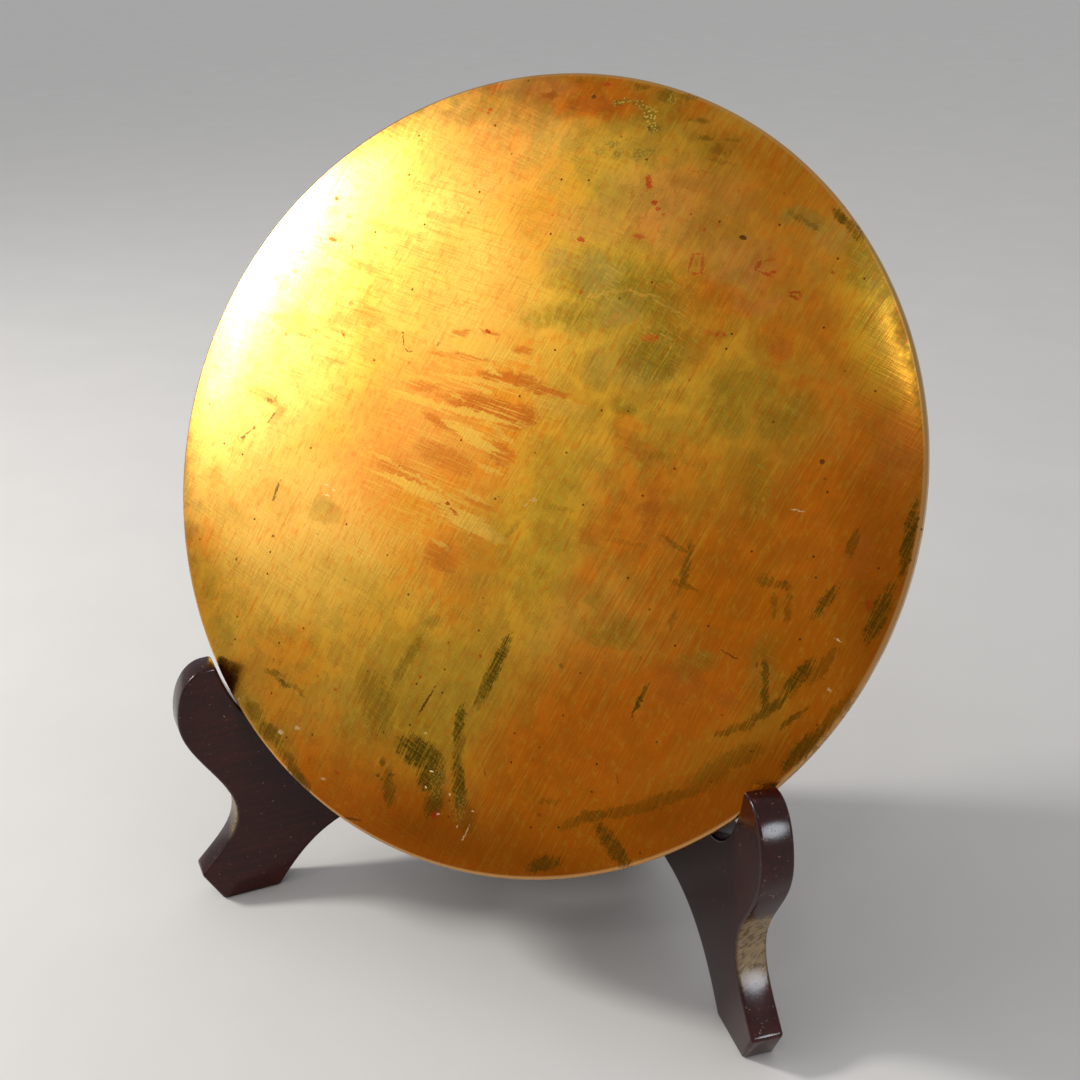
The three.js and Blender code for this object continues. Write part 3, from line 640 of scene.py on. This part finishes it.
    skin = marked(stainPlace, "orangeSkin", scrapeEdge, 0.16)
    colour = laid(tree, colour, skin, "orangeSkin")
    # many short scrapes that follow the polish, then the listed ones
    field = times(tree, marked(flat, "scrapeField", zoneEdge, 0.33), ease(tree, strokeFlat, 0.53, 0.62))
    colour = laid(tree, colour, field, "scrapeField")
    scraped = marked(stainPlace, "scraped", scrapeEdge, 0.1)
    colour = laid(tree, colour, scraped, "scraped")

    stain = marked(stainPlace, "darkStain", stainEdge, 0.2)
    stain = times(tree, stain, ease(tree, hatchLines, 0.42, 0.6, 0.66, 1.15), True)
    colour = laid(tree, colour, stain, "darkStain")

    # crusty spots with small beads of bright metal
    bead = addNode(tree, "TexVoronoi", {"Vector": flat, "Scale": 1.2}, voronoi_dimensions="2D")
    bead = ease(tree, bead.outputs["Distance"], 0.40, 0.18)
    crust = marked(stainPlace, "crust", spotEdge, 0.15)
    colour = laid(tree, colour, times(tree, crust, 0.6), "crust")
    crustBead = times(tree, crust, bead)
    colour = laid(tree, colour, crustBead, "crustBead")

    red = marked(spotPlace, "redSpot", spotEdge, 0.15)
    colour = laid(tree, colour, red, "redSpot")
    brown = marked(spotPlace, "brownFleck", spotEdge, 0.12)
    colour = laid(tree, colour, brown, "brownFleck")
    pale = marked(spotPlace, "paleFleck", spotEdge, 0.15)
    colour = laid(tree, colour, pale, "paleFleck")

    # a few tiny specks anywhere
    cell = addNode(tree, "TexVoronoi", {"Vector": flat, "Scale": 0.14}, voronoi_dimensions="2D")
    chosen = addNode(tree, "SeparateColor", {"Color": cell.outputs["Color"]}).outputs["Red"]
    dust = times(tree, ease(tree, cell.outputs["Distance"], 0.05, 0.03), ease(tree, chosen, 0.8, 0.9))
    colour = laid(tree, colour, dust, "dust")

    tree.links.new(colour, shader.inputs["Base Color"])
    shader.inputs["Metallic"].default_value = 1.0

    rough = ease(tree, mottle, 0.3, 0.7, 0.22, 0.32)
    shiny = marked(flat, "smooth", zoneEdge, 0.33)
    rough = calc(tree, "SUBTRACT", rough, shiny)
    rough = plus(tree, rough, times(tree, stain, 0.22))
    rough = plus(tree, rough, times(tree, olive, 0.08))
    rough = plus(tree, rough, times(tree, plus(tree, red, brown), 0.2))
    rough = calc(tree, "SUBTRACT", rough, times(tree, scraped, 0.05), True)
    tree.links.new(rough, shader.inputs["Roughness"])

    scratch = brushed(tree, flat, 66, 14, 0.7, 2, 0.6)
    scratch = plus(tree, scratch, brushed(tree, flat, -20, 14, 0.8, 2, 0.6))
    bump = addNode(tree, "Bump", {"Strength": 0.12, "Distance": 0.0001, "Height": scratch})
    tree.links.new(bump.outputs["Normal"], shader.inputs["Normal"])
    return material


def backMaterial():
    material, tree, shader = newMaterial("bronzeBack")
    place, flat = discCoordinates(tree)
    cloud = speckle(tree, place, 30.0, 5, 0.6, "3D").outputs["Fac"]
    mottle = speckle(tree, place, 6.0, 5, 0.7, "3D").outputs["Fac"]
    grain = speckle(tree, place, 0.7, 3, 0.7, "3D").outputs["Fac"]
    pits = addNode(tree, "TexVoronoi", {"Vector": place, "Scale": 0.45, "Randomness": 1.0})
    colour = mixColour(tree, ease(tree, cloud, 0.35, 0.65), tint("backGold"), tint("backBrown"))
    colour = laid(tree, colour, ease(tree, mottle, 0.48, 0.68, 0, 0.7), "backOlive")
    colour = laid(tree, colour, ease(tree, mottle, 0.42, 0.3, 0, 0.5), "backCopper")
    # dirt stays in the corner of the rim band, round the knob's seat and at the knob's foot
    radius = lengthOf(tree, flat)
    corner, seat, foot = (times(tree, ease(tree, radius, *ring[:2]), ease(tree, radius, *ring[2:]))
                          for ring in mirror["dirtRings"])
    dirt = calc(tree, "MAXIMUM", calc(tree, "MAXIMUM", corner, seat), foot)
    dirt = times(tree, dirt, ease(tree, mottle, 0.3, 0.6, 0.4, 1.0))
    colour = laid(tree, colour, dirt, "dirt")
    polish = times(tree, ease(tree, radius, *mirror["knobPolish"]), 0.5)
    colour = laid(tree, colour, polish, "knobPolish")
    tree.links.new(colour, shader.inputs["Base Color"])
    shader.inputs["Metallic"].default_value = 1.0
    rough = ease(tree, mottle, 0.3, 0.7, 0.42, 0.58)
    rough = plus(tree, rough, times(tree, dirt, 0.2), True)
    tree.links.new(rough, shader.inputs["Roughness"])
    # cast skin: shallow pits, a soft unevenness and a fine grain
    hollow = ease(tree, pits.outputs["Distance"], 0.0, 0.35)
    relief = plus(tree, times(tree, hollow, 0.5), times(tree, mottle, 0.8))
    relief = plus(tree, relief, times(tree, grain, 0.3))
    bump = addNode(tree, "Bump", {"Strength": 0.35, "Distance": 0.0003, "Height": relief})
    tree.links.new(bump.outputs["Normal"], shader.inputs["Normal"])
    return material


bronzeMirror = buildMirror()
for name, quarter in (("faceUpperRight", (1, 1)), ("faceUpperLeft", (-1, 1)),
                      ("faceLowerRight", (1, -1)), ("faceLowerLeft", (-1, -1))):
    bronzeMirror.data.materials.append(faceMaterial(name, quarter))
bronzeMirror.data.materials.append(backMaterial())
drillCordHole(bronzeMirror)
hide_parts("bronze_mirror")
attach(bronzeMirror, "root")
print("mirror made,", len(bronzeMirror.data.polygons), "faces")


# the stand's two boards

board = {
    "thickness": 8.1,
    "halfAngle": 41.4,  # degrees between a board and the middle plane
    "corner": (0.0, 42.869),  # where the inner faces meet, seen from above
    "edge": 0.8,
    "edgeSteps": 4,
    "sharp": 28,  # degrees from which an edge is rounded
    "curveSteps": 22,
    "mitreGap": 0.3,
    "spineDepth": 6.5,
    "broadFace": 300,  # square millimetres from which a face gets a narrow frame, to shade flat
    "frame": 0.5,
    "waist": (109.5, 4.0, 29.5),  # pale place on the front edge, rubbed lacquer and a painted warm reflection: out, through, up
    "waistReach": (9.0, 12.0, 11.0),
    "rubTurn": 32,
    "rubSize": (2.0, 2.4, 0.8),
    "colours": {
        "lacquer": (36, 9, 7), "figure": (50, 13, 9), "shade": (24, 7, 6),
        # the paler colour at the waist is rubbed lacquer and a painted warm reflection
        "chipped": (150, 118, 88), "rubbedAndReflection": (126, 106, 76),
    },
}

# outline in distance out from the corner and height: a point is a straight line's end,
# a group of three is a curve's two handles and its end
boardOutline = [
    (98.8, 0.0),
    (114.7, 0.0),
    (120.0, 9.5),
    ((114.7, 15.3), (108.4, 20.0), (108.4, 27.6)),
    ((108.4, 37.5), (120.9, 47.0), (120.9, 57.5)),
    ((120.9, 65.5), (117.2, 72.5), (111.4, 72.5)),
    (109.3, 72.5),
    ((106.75, 60.4), (99.5, 49.0), (89.5, 49.0)),
    ((77.5, 49.0), (69.0, 63.0), (66.0, 73.0)),
    ((57.0, 103.0), (59.13, 134.0), (51.05, 146.0)),
    ((48.36, 150.0), (44.55, 152.0), (39.55, 152.0)),
    ((33.55, 152.0), (28.05, 148.0), (28.05, 141.0)),
    ((28.05, 119.0), (-10.79, 112.0), (-10.79, 86.0)),
    (-10.79, 0.0),
    (24.4, 0.0),
    ((33.4, 12.71), (42.26, 20.5), (61.6, 20.5)),
    ((80.94, 20.5), (89.8, 12.71), (98.8, 0.0)),
]


def outlinePoints():
    points = [Vector(boardOutline[0]).to_3d()]
    for part in boardOutline[1:]:
        if len(part) == 2:
            points.append(Vector(part).to_3d())
            continue
        near, far, end = (Vector(corner).to_3d() for corner in part)
        points += interpolate_bezier(points[-1], near, far, end, board["curveSteps"])[1:]
    return points[:-1]


def boardPlace(side):
    # local x runs out from the corner, y up and z through the board from its inner face
    turn = math.radians(board["halfAngle"])
    out = Vector((side * math.sin(turn), -math.cos(turn), 0))
    through = Vector((side * math.cos(turn), math.sin(turn), 0))
    place = Matrix((out, (0, 0, 1), through)).transposed().to_4x4()
    corner = Vector((*board["corner"], 0)) * mm
    return Matrix.Translation(corner) @ place @ Matrix.Scale(mm, 4)


def sliceOff(mesh, point, normal):
    cut = bmesh.ops.bisect_plane(mesh, geom=mesh.verts[:] + mesh.edges[:] + mesh.faces[:], dist=0.001,
                                 plane_co=point, plane_no=normal, clear_outer=True)
    rim = [part for part in cut["geom_cut"] if isinstance(part, bmesh.types.BMEdge)]
    bmesh.ops.holes_fill(mesh, edges=rim, sides=0)


def buildBoard(name, side):
    turn = math.radians(board["halfAngle"])
    mesh = bmesh.new()
    # worn marks the rounded edges, onEdge the faces across the board's thickness, for the lacquer
    worn = mesh.verts.layers.float.new("worn")
    onEdge = mesh.faces.layers.float.new("onEdge")
    outline = mesh.faces.new([mesh.verts.new(point) for point in outlinePoints()])
    grown = bmesh.ops.extrude_face_region(mesh, geom=[outline])
    raised = [part for part in grown["geom"] if isinstance(part, bmesh.types.BMVert)]
    bmesh.ops.translate(mesh, verts=raised, vec=(0, 0, board["thickness"]))
    # the mitre towards the other board, and the flat back of the spine
    sliceOff(mesh, (board["mitreGap"] / 2 / math.sin(turn), 0, 0), (-math.sin(turn), 0, -math.cos(turn)))
    sliceOff(mesh, (-board["spineDepth"] / math.cos(turn), 0, 0), (-math.cos(turn), 0, math.sin(turn)))
    bmesh.ops.recalc_face_normals(mesh, faces=mesh.faces)
    sharp = [edge for edge in mesh.edges if edge.calc_face_angle(0) > math.radians(board["sharp"])]
    rounded = bmesh.ops.bevel(mesh, geom=sharp, offset=board["edge"], segments=board["edgeSteps"],
                              profile=0.5, affect="EDGES", material=-1)
    for face in rounded["faces"]:
        for vert in face.verts:
            vert[worn] = 1.0
    broad = [face for face in mesh.faces if face.calc_area() > board["broadFace"]]
    bmesh.ops.inset_individual(mesh, faces=broad, thickness=board["frame"])
    for face in mesh.faces:
        face.smooth = True
        face[onEdge] = 1 - abs(face.normal.z)
    mesh.transform(boardPlace(side))
    bmesh.ops.recalc_face_normals(mesh, faces=mesh.faces)
    return makeObject(name, mesh)


def lacquerMaterial(name, side):
    material, tree, shader = newMaterial(name)
    tints = {key: paint(*value) for key, value in board["colours"].items()}
    turn = math.radians(board["halfAngle"])
    local = addNode(tree, "TexCoord", {}).outputs["Object"]
    corner = Vector((*board["corner"], 0)) * mm
    # x out along the board, y through it, z up
    upright = placed(tree, local, corner, (0, 0, side * turn - math.pi / 2), (mm, mm, mm))
    grainPlace = placed(tree, upright, scale=(0.035, 0.5, 0.5), kind="POINT")
    figure = speckle(tree, grainPlace, 1.0, 5, 0.65, "3D").outputs["Fac"]
    porePlace = placed(tree, upright, scale=(0.12, 3.0, 3.0), kind="POINT")
    pores = speckle(tree, porePlace, 1.0, 2, 0.5, "3D").outputs["Fac"]
    cloud = speckle(tree, upright, 18.0, 4, 0.6, "3D").outputs["Fac"]
    scuff = speckle(tree, upright, 1.3, 5, 0.75, "3D").outputs["Fac"]
    worn = addNode(tree, "Attribute", {}, attribute_name="worn").outputs["Fac"]
    onEdge = addNode(tree, "Attribute", {}, attribute_name="onEdge").outputs["Fac"]

    colour = mixColour(tree, ease(tree, figure, 0.35, 0.7), tints["lacquer"], tints["figure"])
    colour = mixColour(tree, ease(tree, cloud, 0.45, 0.7, 0, 0.5), colour, tints["shade"])
    # bare wood where the rounded edges are chipped
    bare = times(tree, worn, ease(tree, scuff, 0.62, 0.70, 0, 0.85))
    colour = mixColour(tree, bare, colour, tints["chipped"])
    # the waist of the front edge is paler: rubbed lacquer and a painted warm reflection
    waist = placed(tree, upright, board["waist"], scale=board["waistReach"])
    near = lengthOf(tree, waist)
    rubTurn = (math.radians(board["rubTurn"]), 0, 0)
    scrape = placed(tree, upright, rotation=rubTurn, scale=board["rubSize"])
    scrape = speckle(tree, scrape, 1.0, 4, 0.7, "3D").outputs["Fac"]
    rubbedAndReflection = times(tree, ease(tree, near, 1.2, 0.7), ease(tree, scrape, 0.36, 0.56, 0.3, 0.85))
    rubbedAndReflection = times(tree, rubbedAndReflection, ease(tree, scuff, 0.3, 0.5, 0.7, 1.0))
    rubbedAndReflection = times(tree, rubbedAndReflection, onEdge)
    colour = mixColour(tree, rubbedAndReflection, colour, tints["rubbedAndReflection"])
    tree.links.new(colour, shader.inputs["Base Color"])
    shader.inputs["Specular IOR Level"].default_value = 0.3
    rough = ease(tree, cloud, 0.3, 0.7, 0.12, 0.2)
    rough = plus(tree, rough, times(tree, bare, 0.4))
    rough = plus(tree, rough, times(tree, rubbedAndReflection, 0.2), True)
    tree.links.new(rough, shader.inputs["Roughness"])
    relief = plus(tree, times(tree, cloud, 0.7), times(tree, pores, 0.12))
    relief = plus(tree, relief, times(tree, scuff, 0.3))
    relief = calc(tree, "SUBTRACT", relief, times(tree, bare, 0.25))
    relief = plus(tree, relief, times(tree, figure, 0.2))
    bump = addNode(tree, "Bump", {"Strength": 0.2, "Distance": 0.0003, "Height": relief})
    tree.links.new(bump.outputs["Normal"], shader.inputs["Normal"])
    return material


boards = bpy.data.collections.new("boards")  # for the lamp that lights the boards alone
for name, node, side in (("standRightBoard", "stand_right_board", 1),
                         ("standLeftBoard", "stand_left_board", -1)):
    piece = buildBoard(name, side)
    piece.data.materials.append(lacquerMaterial(name + "Lacquer", side))
    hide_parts(node)
    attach(piece, "root")
    boards.objects.link(piece)
    print(name, "made,", len(piece.data.polygons), "faces")


# floor, light and camera

studio = {
    "floor": (232, 230, 227),
    "world": (0.80, 0.81, 0.83),
    "worldStrength": 0.56,
    "floorReach": 6.0,
    "lamps": [
        # name, direction from the mirror, distance, width, length, power, colour
        ("keyLamp", (-0.81, -0.27, 0.52), 0.95, 0.17, 0.17, 4.9, (1.0, 0.97, 0.92)),
        ("fillLamp", (-0.66, -0.56, 0.50), 1.1, 0.7, 0.7, 1.45, (1.0, 0.98, 0.95)),
        ("sideLamp", (0.208, -0.66, 0.722), 0.9, 0.09, 0.09, 0.26, (1.0, 0.97, 0.9)),
        ("edgeLamp", (0.86, -0.46, 0.22), 0.8, 0.3, 0.3, 4.0, (0.86, 0.92, 1.0)),
        ("glareLamp", (-0.757, -0.42, 0.5), 0.9, 0.09, 0.38, 2.5, (1.0, 0.97, 0.92)),
    ],
    "glossOnly": "glareLamp",  # a long reflection that lights nothing
    "boardsOnly": "edgeLamp",
    # degrees round from the front, up and rolled; target across and up, distance and focal length in mm
    "camera": {
        "swing": 26.14, "rise": 23.86, "roll": -1.41,
        "target": (6.30, 108.50), "distance": 377.85,
        "lens": 36 * 1508.9 / 1080, "sensor": 36,
    },
}


def addFloor():
    mesh = bmesh.new()
    bmesh.ops.create_grid(mesh, x_segments=1, y_segments=1, size=studio["floorReach"])
    floor = makeObject("floor", mesh)
    material, tree, shader = newMaterial("paleFloor")
    local = addNode(tree, "TexCoord", {}).outputs["Object"]
    fleck = speckle(tree, local, 0.05, 4, 0.6).outputs["Fac"]
    low = paint(*studio["floor"])
    high = paint(*(min(255, part + 6) for part in studio["floor"]))
    tree.links.new(mixColour(tree, fleck, low, high), shader.inputs["Base Color"])
    shader.inputs["Roughness"].default_value = 0.75
    floor.data.materials.append(material)


def addLamp(name, direction, distance, width, length, power, colour):
    target = Vector(mirror["centre"]) * mm
    lamp = bpy.data.lights.new(name, "AREA")
    lamp.shape = "ELLIPSE"
    lamp.size = width
    lamp.size_y = length
    lamp.energy = power
    lamp.color = colour
    holder = bpy.data.objects.new(name, lamp)
    bpy.context.scene.collection.objects.link(holder)
    towards = Vector(direction).normalized()
    holder.location = target + towards * distance
    holder.rotation_euler = towards.to_track_quat("Z", "Y").to_euler()
    if name == studio["glossOnly"]:
        holder.visible_diffuse = False
    if name == studio["boardsOnly"]:
        holder.light_linking.receiver_collection = boards


def addWorld():
    world = bpy.data.worlds.new("studio")
    bpy.context.scene.world = world
    world.use_nodes = True
    background = world.node_tree.nodes["Background"]
    background.inputs["Color"].default_value = (*studio["world"], 1)
    background.inputs["Strength"].default_value = studio["worldStrength"]


def addCamera():
    view = studio["camera"]
    swing, rise, roll = (math.radians(view[angle]) for angle in ("swing", "rise", "roll"))
    back = Vector((math.sin(swing) * math.cos(rise), -math.cos(swing) * math.cos(rise), math.sin(rise)))
    right = Vector((math.cos(swing), math.sin(swing), 0))
    up = back.cross(right)
    right, up = right * math.cos(roll) + up * math.sin(roll), up * math.cos(roll) - right * math.sin(roll)
    target = Vector((view["target"][0], mirror["centre"][1], view["target"][1])) * mm
    data = bpy.data.cameras.new("camera")
    data.sensor_width = view["sensor"]
    data.lens = view["lens"]
    data.clip_start = 0.01
    data.clip_end = 30
    camera = bpy.data.objects.new("camera", data)
    bpy.context.scene.collection.objects.link(camera)
    turn = Matrix((right, up, back)).transposed().to_4x4()
    camera.matrix_world = Matrix.Translation(target + back * view["distance"] * mm) @ turn
    bpy.context.scene.camera = camera


addFloor()
addWorld()
for lampValues in studio["lamps"]:
    addLamp(*lampValues)
addCamera()
bpy.context.scene.view_settings.view_transform = "Standard"
print("floor, light and camera set")
